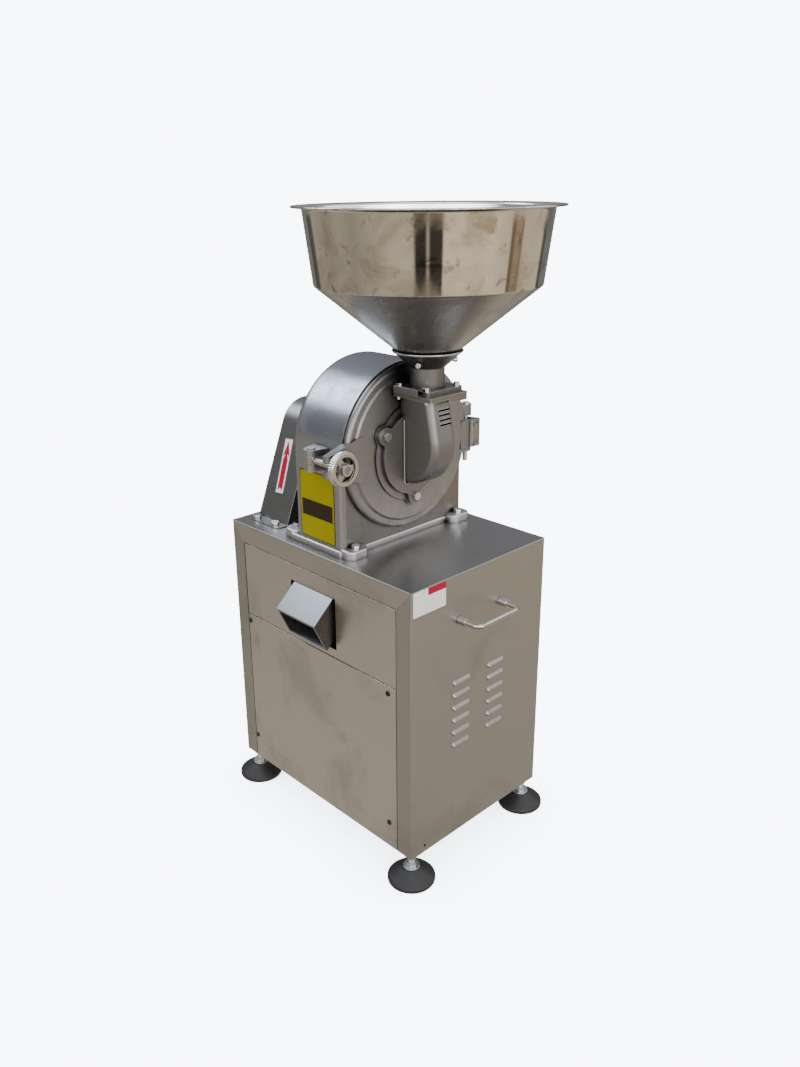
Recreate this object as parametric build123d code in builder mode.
# Flour mill: a toothed-disc grinding head with a big hopper on a stainless cabinet.
# Millimetres, +Z up, the floor at Z = 0. The flour chute faces -Y and the mill door faces +X.
# Pieces are drawn from the cabinet's middle, and moved along X when they are written, so that
# the origin lies on the floor under the middle of the whole machine.
import os
from math import cos, radians, sin, tan

from build123d import *

os.makedirs("parts", exist_ok=True)

# Clearances
fit = 0.05  # radial, pins and shafts in their holes
slack = 0.3  # between pieces that slide or turn past each other
bolt_slack = 0.4  # radial, bolts in their holes

# Cabinet of bent stainless sheet
cab_width = 450.0  # along X
cab_depth = 320.0  # along Y
cab_height = 475.0
sheet = 1.5
stile_width = 32.0
top_rail = 35.0
bottom_rail = 33.0
upper_panel_height = 136.0
seam = 1.5  # gap beside and above a panel
foot_seam = 0.3  # gap below a panel
bend_r = 2.5  # rounding of the cabinet's upright corners
panel_depth = 10.0  # folded edges of a panel
ledge_width = 27.0  # strip that a panel is screwed to
screw_r = 2.0
screw_head_r = 4.5
screw_head_h = 1.2
screw_edge = 11.0  # from a panel's side edge
screw_shift = -7.0  # the screws sit off the panel's middle
screw_end = 13.0  # from a panel's top or bottom edge

# Levelling feet
foot_height = 54.0  # floor to the cabinet's underside
foot_r = 40.0
foot_inset = 17.0  # stud from the cabinet's outer faces
pad_height = 26.0
pad_rim = 7.0
pad_slope = 3.0  # rounding above the rim, drawn as a short slope
pad_foot = 1.0
pad_neck_r = 16.5
pad_neck_h = 2.0
cap_r = 14.5  # zinc cap that seats the stud in the pad
cap_h = 4.0
cap_seat = 3.0  # depth of the cap's seat
cap_round = 1.0
stud_r = 6.0
stud_bottom = 10.0
stud_top = 24.0  # above the cabinet's underside
stud_hex = 17.0
stud_hex_h = 7.0
nut_hex = 19.0
nut_h = 10.0

# Bow handles
handle_span = 98.5
handle_y = -4.75
handle_drop = 78.0  # below the cabinet top
handle_reach = 41.0
handle_rod_r = 4.0
handle_bend = 12.0
ferrule_r = 6.5
ferrule_length = 17.0

# Louvres in the side sheets
louvre_columns = (-45.0, 39.0)  # middle of each column, along Y
louvre_rows = 6
louvre_pitch = 22.9
louvre_first = 187.5  # middle of the top row, below the cabinet top
louvre_length = 42.0
louvre_r = 5.0
louvre_lip = 2.5  # height of the opening under a louvre

# Inner frame of welded angle
angle_leg = 28.0
angle_wall = 3.0
foot_plate = 5.0
foot_plate_size = 44.0
mill_rail_leg = 30.0
mill_rail_in = 9.0  # rail's edges from the bolts
mill_rail_out = 15.0

# Grinding head
shaft_height = 160.0  # above the cabinet top
casing_r = 140.0
casing_back = -72.0
split_x = 53.0  # front face of the casing
casing_wall = 12.0
casing_back_wall = 14.0
casing_back_round = 20.0
casing_edge_round = 10.0
mouth_land = 22.0  # ring of the casing's face round its mouth
outlet_x = (-49.0, 40.0)
outlet_y = (-80.0, 42.0)
base_thick = 11.0
base_front = 55.0
base_back = -80.0
base_edge = 5.0  # beyond the casing's sides
base_round = 4.0
lug_width = 44.0
lug_thick = 15.0
lug_round = 14.0
front_lug_tip = 75.0
back_lug_tip = -100.0
lug_inset = 19.0  # middle of a lug inside the casing's side
front_bolt_x = 62.0
back_bolt_x = -86.0
casing_bolt_r = 4.0
casing_bolt_hex = 13.0
casing_bolt_head = 5.5

# Hinge of the door
hinge_x = 49.0
hinge_out = 12.0  # pin's axis from the casing's side
hinge_pin_r = 4.5
hinge_pin_head = 3.0
hinge_pin_lip = 2.5
hinge_pin_tail = 18.0  # below the lower knuckle
knuckle_r = 10.0
knuckle_root = 30.0  # length of a knuckle's foot on the casing
upper_knuckle = (183.0, 203.0)  # heights above the cabinet top
lower_knuckle = (119.0, 130.0)
hinge_block_top = 178.0
hinge_block_front = 72.0
hinge_block_out = 16.0  # beyond the pin's axis
hinge_rib = 6.0
hinge_rib_out = 2.5

# Door
door_gap = 1.0  # seal gap between the casing and the door
door_inset = 2.5  # rim inside the casing's outline
door_rim = 10.0  # thickness at the rim
door_rim_round = 6.0
door_face_inset = 16.5  # raised middle inside the rim
door_face = 3.0  # how far the middle stands out of the rim
spigot_edge = 2.0  # beyond the stator
spigot = 4.0
throat_r = 26.0
boss_r = 81.0
boss = 3.0
seal_inset = 6.5
seal_width = 7.0

# Clamp
clamp_x = 8.0
clamp_out = 21.0  # pin's axis from the casing's side
clamp_z = 160.0  # bolt axis above the cabinet top
clamp_pin_r = 5.0
clamp_pin_head = 2.0
clamp_pin_lip = 1.5
fork_gap = 13.0
fork_ear = 11.0
fork_r = 12.0
fork_root = 34.0  # width of the fork's ears on the casing
swing_bolt_r = 6.0
swing_bolt_tail = 1.0  # how far it stops short of the wheel's front
eye_r = 11.0
ear_tip = 16.0  # beyond the bolt's axis
ear_thick = 14.0
ear_half = 18.0  # half height at its outer end
ear_root = 29.5  # inside the door's rim
ear_root_half = 38.0
ear_slot_slack = 0.7
ear_tip_round = 10.0
wheel_r = 27.0
wheel_rim = 7.0
wheel_width = 12.0
wheel_hub_r = 9.5
wheel_hub = 24.0
wheel_web = 6.0
wheel_seat = 0.8  # hub from the ear when the clamp is let off

# Feed box on the door
plate_drop = 7.0  # its middle below the shaft
plate_r = 69.0
plate_thick = 7.0
plate_lug_pcr = 75.0
plate_lug_r = 14.0
plate_lug_neck = 9.0  # hollow rounding beside a lug
plate_lugs = (30.0, 150.0, 270.0)
plate_bolt_r = 4.0
plate_bolt_hex = 13.0
plate_bolt_head = 6.0
box_half = 25.5
box_wall = 5.0
box_drop = 49.0  # below the casing's top
box_top_x = 130.0
box_knee = (143.0, 32.0)  # X, and rise above the plate's middle, where the front wall starts to curve back
box_foot = (80.0, 49.0)  # X, and drop from the plate's middle, where the curve ends
box_round = 11.0
box_slots = 4
box_slot = (28.0, 3.0)
box_slot_pitch = 7.4
box_slot_drop = 20.0  # top slot below the box's top
box_slot_y = 6.0
top_flange_x = (68.0, 150.0)
top_flange_half = 42.0
top_flange = 7.0
flange_lip = (8.0, 42.0, 6.0)  # along X, along Y, drop

# Neck, slide gate and hopper
neck_x = 103.0
neck_flange_x = (68.0, 142.0)
neck_flange_half = 39.0
neck_flange_h = 8.0
neck_r = 27.0
neck_wall = 2.0
neck_h = 38.0  # flange underside to the collar
collar_r = 55.0
collar_h = 25.0
neck_bolt_x = 30.0  # from the neck's axis
neck_bolt_y = 34.0
neck_bolt_r = 3.0
neck_bolt_hex = 10.0
neck_bolt_head = 5.0
collar_wall = 2.5
collar_screws = 3
collar_screw_angle = -64.0
collar_screw_r = 2.5
collar_screw_head_r = 4.0
collar_screw_head = 6.0
collar_screw_z = 9.0  # above the collar's foot
gate_thick = 2.0
gate_half = 26.0
gate_back = 33.0
gate_front = -50.0
gate_tab = 12.0
spout_length = 30.0
hopper_sheet = 1.5
cone_seat = 5.9  # foot of the cone above the foot of the collar
cone_angle = 51.0  # from the vertical
cone_r = 173.0
band_r = 187.0
band_h = 111.0
rim_r = 203.0  # outermost
rim_bead_r = 1.6
rim_rise = 3.5

# Rotor, stator and sieve
disc_clear = 9.5  # rotor from the sieve's outer face
disc_thick = 12.0
disc_face = 4.0  # X of the rotor's front face
hub_r = 30.0
hub_back = -42.0
row_edge = 8.0  # last row of teeth from the rotor's edge
row_inset = 14.0  # first row from the throat
rotor_row_count = (24, 14)
stator_row_count = (18, 10)
tooth_radial = 7.0
tooth_width = 9.0
rotor_tooth = 22.0
stator_tooth = 28.0
stator_over = 3.0  # beyond the rotor
stator_thick = 12.0
stator_screw_edge = 11.0  # from the stator's edge
stator_screw_r = 3.0
stator_screw_head_r = 5.0
stator_screw_head = 3.0
sieve_clear = 12.5  # sieve from the casing's mouth
sieve_wall = 1.5
sieve_back = -34.0
sieve_front = 49.0
sieve_seat_in = 6.0  # inside the sieve
sieve_seat_out = 3.0  # outside the sieve
sieve_socket = 6.0

# Main shaft and its bearings
bearing_r = 36.0
bearing_width = 19.0
bearing_recess = 1.0  # back bearing inside the housing's end
journal_r = 15.0
journal_reach = 2.0  # behind the housing
shoulder_r = 18.0
shoulder_back = -57.0
rotor_seat_r = 14.0
thread_r = 10.0
thread_end = 22.0
rotor_nut_hex = 30.0
rotor_nut_h = 13.0
housing_r = 47.0
housing_back = -122.0
housing_flange_r = 68.0
housing_flange = 12.0
housing_bore_r = 30.0
housing_bolt_pcr = 58.0
housing_bolt_r = 4.0
housing_bolt_hex = 13.0
housing_bolt_head = 5.5
housing_bolt_depth = 10.0

# Belt drive
pulley_x = -166.0
pulley_width = 34.0
groove_spacing = 16.0
belt_top = 13.0
belt_bottom = 8.4
belt_height = 8.0
groove_room = 2.0  # below a belt in its groove
belt_land = 1.0  # straight edge above the flanks
mill_pulley_r = 35.0
motor_pulley_r = 65.0
pulley_shaft_r = 12.5
pulley_shaft_end = -188.0
key_width = 8.0
key_height = 7.0
key_length = 28.0
guard_x = (-207.0, -125.0)
guard_edge = 46.0  # its foot from the cabinet's front and back edges
guard_top_r = 54.0
guard_top_drop = 13.0  # middle of its round top below the shaft
guard_tab = 21.0
guard_tab_round = 9.0
guard_bolt_x = (-198.0, -146.0)
guard_bolt_r = 4.0
guard_bolt_hex = 13.0
guard_bolt_head = 5.5
belt_slot = (46.0, 124.0)

# Motor
motor_drop = 335.0  # motor axis below the cabinet top
motor_r = 74.0
motor_fins = 24
fin_out = 8.0
fin_width = 3.0
motor_front = -100.0
motor_back = 92.0
motor_foot_height = 92.0
motor_foot = (26.0, 150.0, 10.0)  # along X, along Y, thickness
motor_foot_x = 55.0
motor_bolt_y = 62.0
motor_bolt_r = 5.0
motor_bolt_hex = 16.0
motor_bolt_head = 6.5
motor_plate = (180.0, 190.0, 6.0)
motor_shaft_r = 12.0
motor_shaft_front = -186.0
motor_shaft_back = 128.0
fan_r = 52.0
fan_blades = 7
fan_width = 14.0
cover_wall = 2.0
cover_back = 146.0
terminal_box = (84.0, 70.0, 38.0)

# Flour chute
chute_x = (-54.0, 45.0)
chute_top_z = -69.0  # outer face of its roof at the cabinet's front, below the cabinet top
chute_roof_angle = 42.0
chute_floor_angle = 35.0
mouth_top_y = -199.0
mouth_bottom = (-174.0, -156.0)
mouth_hem = 5.0
chute_flange = 5.0
window_x = (-62.0, 52.0)
window_z = (-157.0, -66.0)

# Cable gland in the back panel
gland_x = -150.0
gland_z = 60.0  # above the cabinet's underside
gland_hex = 24.0
gland_r = 10.0
gland_bore_r = 5.0
gland_out = 18.0

# Places worked out from the sizes above
half_w = cab_width / 2
half_d = cab_depth / 2
cab_bottom = foot_height
cab_top = cab_bottom + cab_height
shaft_z = cab_top + shaft_height
motor_z = cab_top - motor_drop
under_top = cab_top - sheet
mitre_x = half_w - sheet
stile_x = half_w - stile_width
panel_half = stile_x - seam
upper_panel_top = cab_top - top_rail - seam
lower_panel_top = upper_panel_top - upper_panel_height - seam
lower_panel_bottom = cab_bottom + bottom_rail + foot_seam
foot_x = half_w - foot_inset
foot_y = half_d - foot_inset
screw_x = panel_half - screw_edge
base_half = casing_r + base_edge
lug_y = casing_r - lug_inset
hinge_y = casing_r + hinge_out
clamp_y = -casing_r - clamp_out
door_r = casing_r - door_inset
door_face_r = door_r - door_face_inset
seal_r = (door_r - seal_inset - seal_width, door_r - seal_inset)
mouth_r = casing_r - mouth_land
sieve_r = mouth_r - sieve_clear
disc_r = sieve_r - disc_clear
stator_r = disc_r + stator_over
spigot_r = stator_r + spigot_edge
stator_screw_pcr = stator_r - stator_screw_edge
row_last = disc_r - row_edge
row_first = throat_r + row_inset
row_pitch = (row_last - row_first) / 3
rotor_row_r = (row_last, row_first + row_pitch)
stator_row_r = (row_last - row_pitch, row_first)
ear_end = clamp_y - ear_tip
ear_root_y = -door_r + ear_root
door_back = split_x + door_gap
door_rim_front = door_back + door_rim
door_front = door_rim_front + door_face
boss_front = door_front + boss
spigot_back = door_back - spigot
stator_face = spigot_back - stator_thick
plate_z = shaft_height - plate_drop
box_top = shaft_height + casing_r - box_drop
box_slot_z = box_top - box_slot_drop
box_knee_z = cab_top + plate_z + box_knee[1]
box_foot_z = cab_top + plate_z - box_foot[1]
box_flange_top = cab_top + box_top + top_flange
neck_foot = box_flange_top
collar_foot = neck_foot + neck_h
ear_front = door_back + ear_thick
wheel_back = ear_front + wheel_seat
swing_bolt_end = wheel_back + wheel_hub - swing_bolt_tail
neck_bore_r = neck_r - neck_wall
spout_r = neck_bore_r - slack
spout_top = collar_foot - cab_top + cone_seat  # heights of the hopper above the cabinet top
cone_top = spout_top + (cone_r - spout_r) / tan(radians(cone_angle))
band_top = cone_top + band_h
rim_top = band_top + rim_rise
casing_bolts_xy = [(front_bolt_x, -lug_y), (front_bolt_x, lug_y), (back_bolt_x, -lug_y), (back_bolt_x, lug_y)]
guard_foot_half = half_d - guard_edge
guard_top_z = shaft_height - guard_top_drop
guard_bolt_y = guard_foot_half + guard_tab / 2
guard_bolts_xy = [(x, y) for x in guard_bolt_x for y in (-guard_bolt_y, guard_bolt_y)]
neck_bolts_xy = [
    (neck_x + sx * neck_bolt_x, sy * neck_bolt_y) for sx in (-1, 1) for sy in (-1, 1)
]
motor_bolts_xy = [(sx * motor_foot_x, sy * motor_bolt_y) for sx in (-1, 1) for sy in (-1, 1)]
feet_xy = {
    "front_right": (foot_x, -foot_y),
    "front_left": (-foot_x, -foot_y),
    "back_right": (foot_x, foot_y),
    "back_left": (-foot_x, foot_y),
}

# The machine reaches from the left handle to the hopper's rim: its middle is the origin
reach_left = -half_w - handle_reach - handle_rod_r
reach_right = neck_x + rim_r
to_frame = Location((-(reach_left + reach_right) / 2, 0, 0))

# Axes and planes that several pieces share
shaft_axis = Axis((0, 0, shaft_z), (1, 0, 0))
motor_axis = Axis((0, 0, motor_z), (1, 0, 0))
shaft_profile = Plane((0, 0, shaft_z), x_dir=(1, 0, 0), z_dir=(0, -1, 0))
motor_profile = Plane((0, 0, motor_z), x_dir=(1, 0, 0), z_dir=(0, -1, 0))
hopper_axis = Axis((neck_x, 0, 0), (0, 0, 1))
hopper_profile = Plane((neck_x, 0, cab_top), x_dir=(1, 0, 0), z_dir=(0, -1, 0))


def across(x):
    """Plane across the shaft at this X: first axis along Y, second axis up."""
    return Plane((x, 0, shaft_z), x_dir=(0, 1, 0), z_dir=(1, 0, 0))


def wall(side):
    """Plane on the cabinet's front (-1) or back (1) face, looking out of it, second axis up."""
    return Plane((0, side * half_d, 0), x_dir=(-side, 0, 0), z_dir=(0, side, 0))


def write(builder, label):
    """Name a finished piece and write it in the machine's frame."""
    builder.part.label = label
    piece = builder.part.moved(to_frame)
    piece.label = label
    export_step(piece, f"parts/{label}.step")


def hex_bolts(places, z_dir, hexagon, head, shank_r, length):
    """Hex bolts seated at the places: heads along z_dir, shanks the other way."""
    with BuildPart() as bolts:
        for place in places:
            with BuildSketch(Plane(place, z_dir=z_dir)):
                RegularPolygon(hexagon / 2, 6, major_radius=False)
            extrude(amount=head)
            with BuildSketch(Plane(place, z_dir=z_dir)):
                Circle(shank_r)
            extrude(amount=-length)
    return bolts


def pan(side, bottom, top):
    """Panel folded into a shallow pan, flush with the cabinet's front or back face."""
    middle = (bottom + top) / 2
    with BuildPart() as panel:
        with BuildSketch(wall(side)):
            with Locations((0, middle)):
                Rectangle(2 * panel_half, top - bottom)
        extrude(amount=-panel_depth)
        with BuildSketch(wall(side).offset(-sheet)):
            with Locations((0, middle)):
                Rectangle(2 * panel_half - 2 * sheet, top - bottom - 2 * sheet)
        extrude(amount=-panel_depth, mode=Mode.SUBTRACT)
    return panel


def pan_screws(side, heights):
    """Pan-head screws through a panel's side edges into the ledges."""
    with BuildPart() as screws:
        with BuildSketch(wall(side)):
            with Locations(*[(sx * screw_x + screw_shift, z) for sx in (-1, 1) for z in heights]):
                Circle(screw_head_r)
        extrude(amount=screw_head_h)
        fillet(screws.faces().filter_by(GeomType.PLANE).group_by(Axis.Y)[0 if side < 0 else -1].edges(),
               screw_head_h / 2)
        with BuildSketch(wall(side)):
            with Locations(*[(sx * screw_x + screw_shift, z) for sx in (-1, 1) for z in heights]):
                Circle(screw_r)
        extrude(amount=-(panel_depth + 2 * sheet))
    return screws


# Cabinet top: a sheet with a mitred rail folded down at the front and at the back
with BuildPart() as cabinet_top:
    with BuildSketch(Plane.XY.offset(under_top)):
        RectangleRounded(cab_width, cab_depth, bend_r)
        with Locations((sum(outlet_x) / 2, sum(outlet_y) / 2)):
            Rectangle(outlet_x[1] - outlet_x[0], outlet_y[1] - outlet_y[0], mode=Mode.SUBTRACT)
        with Locations((pulley_x, 0)):
            Rectangle(*belt_slot, mode=Mode.SUBTRACT)
        with Locations(*casing_bolts_xy):
            Circle(casing_bolt_r + bolt_slack, mode=Mode.SUBTRACT)
        with Locations(*guard_bolts_xy):
            Circle(guard_bolt_r + bolt_slack, mode=Mode.SUBTRACT)
    extrude(amount=sheet)
    for side in (-1, 1):
        with BuildSketch(wall(side)):
            Polygon(
                (-mitre_x, under_top),
                (mitre_x, under_top),
                (stile_x, cab_top - top_rail),
                (-stile_x, cab_top - top_rail),
            )
        extrude(amount=-sheet)
write(cabinet_top, "cabinet_top")


# One louvre, pressed outwards: half a capsule on the YZ plane, hollow, with a slit below
def capsule(radius, length):
    """Rod with ball ends, lying along Y."""
    with BuildPart() as rod:
        with BuildSketch(Plane.XY):
            SlotOverall(length, 2 * radius, rotation=90)
            split(bisect_by=Plane.YZ)
        revolve(axis=Axis.Y)
    return rod.part


with BuildPart() as louvre_hood:
    add(capsule(louvre_r, louvre_length))
    split(bisect_by=Plane.YZ)
with BuildPart() as louvre_opening:
    add(capsule(louvre_r - sheet, louvre_length - 2 * sheet))
    with BuildSketch(Plane.YZ):
        with Locations((0, -louvre_r)):
            Rectangle(louvre_length - 2 * louvre_r, 2 * louvre_lip)
    extrude(amount=louvre_r)
louvre_places = [
    (half_w, y, cab_top - louvre_first - row * louvre_pitch)
    for y in louvre_columns
    for row in range(louvre_rows)
]

# Right side sheet: folded stiles, ledges for the panels, and the louvres
with BuildPart() as cabinet_side_right:
    with BuildSketch(Plane.YZ.offset(half_w)):
        with Locations((0, (cab_bottom + under_top) / 2)):
            Rectangle(cab_depth, under_top - cab_bottom)
    extrude(amount=-sheet)
    for side in (-1, 1):
        out = -side
        with BuildSketch(wall(side)):
            Polygon(
                (out * half_w, cab_bottom),
                (out * half_w, under_top),
                (out * mitre_x, under_top),
                (out * stile_x, cab_top - top_rail),
                (out * stile_x, cab_bottom),
            )
        extrude(amount=-sheet)
        ledge_y = side * (half_d - panel_depth)
        with BuildSketch(Plane.XY.offset(cab_bottom + bottom_rail)):
            Polygon(
                (stile_x + sheet, side * half_d),
                (stile_x + sheet, ledge_y - side * sheet),
                (stile_x - ledge_width, ledge_y - side * sheet),
                (stile_x - ledge_width, ledge_y),
                (stile_x, ledge_y),
                (stile_x, side * half_d),
            )
        extrude(amount=cab_height - top_rail - bottom_rail)
        with BuildSketch(wall(side).offset(-panel_depth)):
            with Locations(
                (out * screw_x, lower_panel_top - screw_end),
                (out * screw_x, lower_panel_bottom + screw_end),
                (out * screw_x, upper_panel_top - screw_end),
            ):
                SlotOverall(2 * (screw_r + slack) - 2 * screw_shift, 2 * (screw_r + slack))
        extrude(amount=-sheet, mode=Mode.SUBTRACT)
    fillet(cabinet_side_right.edges().filter_by(Axis.Z).group_by(Axis.X)[-1], bend_r)
    with Locations(*louvre_places):
        add(louvre_hood.part)
        add(louvre_opening.part, mode=Mode.SUBTRACT)
write(cabinet_side_right, "cabinet_side_right")

with BuildPart() as cabinet_side_left:
    mirror(cabinet_side_right.part, about=Plane.YZ)
write(cabinet_side_left, "cabinet_side_left")

# Front panels: the upper one has the window of the chute, the lower one is screwed on
with BuildPart() as front_upper_panel:
    add(pan(-1, lower_panel_top + seam, upper_panel_top).part)
    with BuildSketch(wall(-1)):
        with Locations((sum(window_x) / 2, cab_top + sum(window_z) / 2)):
            Rectangle(window_x[1] - window_x[0], window_z[1] - window_z[0])
    extrude(amount=-sheet, mode=Mode.SUBTRACT)
write(front_upper_panel, "front_upper_panel")

lower_screw_heights = (lower_panel_top - screw_end, lower_panel_bottom + screw_end)
with BuildPart() as front_lower_panel:
    add(pan(-1, lower_panel_bottom, lower_panel_top).part)
    with BuildSketch(wall(-1)):
        with Locations(*[(sx * screw_x + screw_shift, z) for sx in (-1, 1) for z in lower_screw_heights]):
            Circle(screw_r + slack)
    extrude(amount=-sheet, mode=Mode.SUBTRACT)
write(front_lower_panel, "front_lower_panel")
write(pan_screws(-1, lower_screw_heights), "front_panel_screws")

# Back panel: one tall pan, with the hole of the cable gland
back_screw_heights = (upper_panel_top - screw_end, *lower_screw_heights)
with BuildPart() as back_panel:
    add(pan(1, lower_panel_bottom, upper_panel_top).part)
    with BuildSketch(wall(1)):
        with Locations(*[(sx * screw_x + screw_shift, z) for sx in (-1, 1) for z in back_screw_heights]):
            Circle(screw_r + slack)
        with Locations((gland_x, cab_bottom + gland_z)):
            Circle(gland_r - 2 * sheet + slack)
    extrude(amount=-sheet, mode=Mode.SUBTRACT)
write(back_panel, "back_panel")
write(pan_screws(1, back_screw_heights), "back_panel_screws")

with BuildPart() as cable_gland:
    gland_axis = wall(1).from_local_coords((gland_x, cab_bottom + gland_z))
    gland_plane = Plane(gland_axis, z_dir=(0, 1, 0))
    with BuildSketch(gland_plane):
        RegularPolygon(gland_hex / 2, 6, major_radius=False)
    extrude(amount=gland_out / 2)
    with BuildSketch(gland_plane):
        Circle(gland_r)
    extrude(amount=gland_out)
    fillet(cable_gland.faces().sort_by(Axis.Y)[-1].edges(), gland_r - gland_bore_r - sheet)
    with BuildSketch(gland_plane):
        Circle(gland_r - 2 * sheet)
    extrude(amount=-panel_depth)
    with BuildSketch(gland_plane.offset(gland_out)):
        Circle(gland_bore_r)
    extrude(amount=-gland_out - panel_depth, mode=Mode.SUBTRACT)
write(cable_gland, "cable_gland")

# Base tray: the floor of the cabinet, whose front and back lips are the bottom rails
with BuildPart() as base_tray:
    with BuildSketch(Plane.XY.offset(cab_bottom)):
        Rectangle(cab_width - 2 * sheet, cab_depth - 2 * sheet)
        Rectangle(2 * panel_half, cab_depth)
        with Locations(*feet_xy.values()):
            Circle(stud_r + bolt_slack, mode=Mode.SUBTRACT)
    extrude(amount=sheet)
    for side in (-1, 1):
        with BuildSketch(wall(side)):
            with Locations((0, cab_bottom + bottom_rail / 2)):
                Rectangle(2 * panel_half, bottom_rail)
        extrude(amount=-sheet)
write(base_tray, "base_tray")

# Inner frame: corner posts, top and bottom rails, rails for the mill and for the motor
post_x = half_w - sheet
post_y = half_d - sheet
motor_plate_top = motor_z - motor_foot_height
motor_rail_top = motor_plate_top - motor_plate[2]
frame_bottom = cab_bottom + sheet
with BuildPart() as inner_frame:
    with BuildSketch(Plane.XY.offset(frame_bottom)):
        for sx in (-1, 1):
            for sy in (-1, 1):
                Polygon(
                    (sx * post_x, sy * post_y),
                    (sx * (post_x - angle_leg), sy * post_y),
                    (sx * (post_x - angle_leg), sy * (post_y - angle_wall)),
                    (sx * (post_x - angle_wall), sy * (post_y - angle_wall)),
                    (sx * (post_x - angle_wall), sy * (post_y - angle_leg)),
                    (sx * post_x, sy * (post_y - angle_leg)),
                )
    extrude(amount=under_top - frame_bottom)
    with BuildSketch(Plane.XY.offset(frame_bottom)):
        for sx in (-1, 1):
            for sy in (-1, 1):
                with Locations((sx * (post_x - foot_plate_size / 2), sy * (post_y - foot_plate_size / 2))):
                    Rectangle(foot_plate_size, foot_plate_size)
    extrude(amount=foot_plate)
    # Rails along X, front and back, under the top and on the floor
    for sy in (-1, 1):
        with BuildSketch(Plane.YZ):
            for level, up in ((under_top, -1), (frame_bottom, 1)):
                Polygon(
                    (sy * post_y, level),
                    (sy * (post_y - angle_leg), level),
                    (sy * (post_y - angle_leg), level + up * angle_wall),
                    (sy * (post_y - angle_wall), level + up * angle_wall),
                    (sy * (post_y - angle_wall), level + up * angle_leg),
                    (sy * post_y, level + up * angle_leg),
                )
        extrude(amount=post_x, both=True)
    # Cross rails that carry the casing's bolts, and lower ones for the motor plate
    with BuildSketch(Plane.XZ):
        for bolt_x, sx in ((front_bolt_x, 1), (back_bolt_x, -1)):
            near = bolt_x - sx * mill_rail_in
            far = bolt_x + sx * mill_rail_out
            Polygon(
                (near, under_top),
                (far, under_top),
                (far, under_top - mill_rail_leg),
                (far - sx * angle_wall, under_top - mill_rail_leg),
                (far - sx * angle_wall, under_top - angle_wall),
                (near, under_top - angle_wall),
            )
        for sx in (-1, 1):
            near = sx * (motor_foot_x - motor_foot[0] / 2)
            far = sx * (motor_foot_x + motor_foot[0] / 2)
            Polygon(
                (near, motor_rail_top),
                (far, motor_rail_top),
                (far, frame_bottom),
                (far - sx * angle_wall, frame_bottom),
                (far - sx * angle_wall, motor_rail_top - angle_wall),
                (near, motor_rail_top - angle_wall),
            )
    extrude(amount=half_d - panel_depth - 2 * seam, both=True)
    with BuildSketch(Plane.XY.offset(under_top)):
        with Locations(*casing_bolts_xy):
            Circle(casing_bolt_r + bolt_slack)
        with Locations(*guard_bolts_xy):
            Circle(guard_bolt_r + bolt_slack)
    extrude(amount=-angle_wall, mode=Mode.SUBTRACT)
    with BuildSketch(Plane.XY.offset(motor_rail_top)):
        with Locations(*motor_bolts_xy):
            Circle(motor_bolt_r + bolt_slack)
    extrude(amount=-angle_wall, mode=Mode.SUBTRACT)
    with BuildSketch(Plane.XY.offset(frame_bottom)):
        with Locations(*feet_xy.values()):
            Circle(stud_r + bolt_slack)
    extrude(amount=foot_plate, mode=Mode.SUBTRACT)
write(inner_frame, "inner_frame")


# Feet: a black pad, the stud that stands in it, and the nut that locks the stud
def foot_pad(place):
    """Round pad with a short rim, a sloping top, a seat for the cap and a socket for the stud."""
    with BuildPart() as pad:
        with BuildSketch(Plane((*place, 0), x_dir=(1, 0, 0), z_dir=(0, -1, 0))):
            Polygon(
                (0, 0),
                (foot_r - pad_foot, 0),
                (foot_r, pad_foot),
                (foot_r, pad_rim),
                (foot_r - pad_slope, pad_rim + pad_slope),
                (pad_neck_r, pad_height - pad_neck_h),
                (pad_neck_r, pad_height),
                (cap_r + slack, pad_height),
                (cap_r + slack, pad_height - cap_seat),
                (stud_r + slack, pad_height - cap_seat),
                (stud_r + slack, stud_bottom),
                (0, stud_bottom),
            )
        revolve(axis=Axis((*place, 0), (0, 0, 1)))
    return pad


for corner, place in feet_xy.items():
    write(foot_pad(place), f"foot_pad_{corner}")

cap_foot = pad_height - cap_seat
with BuildPart() as foot_studs:
    with BuildSketch(Plane.XY.offset(cap_foot)):
        with Locations(*feet_xy.values()):
            Circle(cap_r)
    extrude(amount=cap_h)
    fillet(foot_studs.edges().group_by(Axis.Z)[-1], cap_round)
    with BuildSketch(Plane.XY.offset(stud_bottom)):
        with Locations(*feet_xy.values()):
            Circle(stud_r)
    extrude(amount=cab_bottom + stud_top - stud_bottom)
    with BuildSketch(Plane.XY.offset(cap_foot + cap_h)):
        with Locations(*feet_xy.values()):
            RegularPolygon(stud_hex / 2, 6, major_radius=False)
    extrude(amount=stud_hex_h)
write(foot_studs, "foot_studs")

with BuildPart() as foot_nuts:
    with BuildSketch(Plane.XY.offset(cab_bottom)):
        with Locations(*feet_xy.values()):
            RegularPolygon(nut_hex / 2, 6, major_radius=False)
            Circle(stud_r + fit, mode=Mode.SUBTRACT)
    extrude(amount=-nut_h)
write(foot_nuts, "foot_nuts")

# Bow handles: a bent rod whose ends stand in ferrules on the side sheet
handle_z = cab_top - handle_drop
handle_ends = (handle_y - handle_span / 2, handle_y + handle_span / 2)
with BuildPart() as handle_right:
    with BuildLine():
        FilletPolyline(
            (half_w, handle_ends[0], handle_z),
            (half_w + handle_reach, handle_ends[0], handle_z),
            (half_w + handle_reach, handle_ends[1], handle_z),
            (half_w, handle_ends[1], handle_z),
            radius=handle_bend,
        )
    with BuildSketch(Plane((half_w, handle_ends[0], handle_z), z_dir=(1, 0, 0))):
        Circle(handle_rod_r)
    sweep()
write(handle_right, "handle_right")

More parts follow.
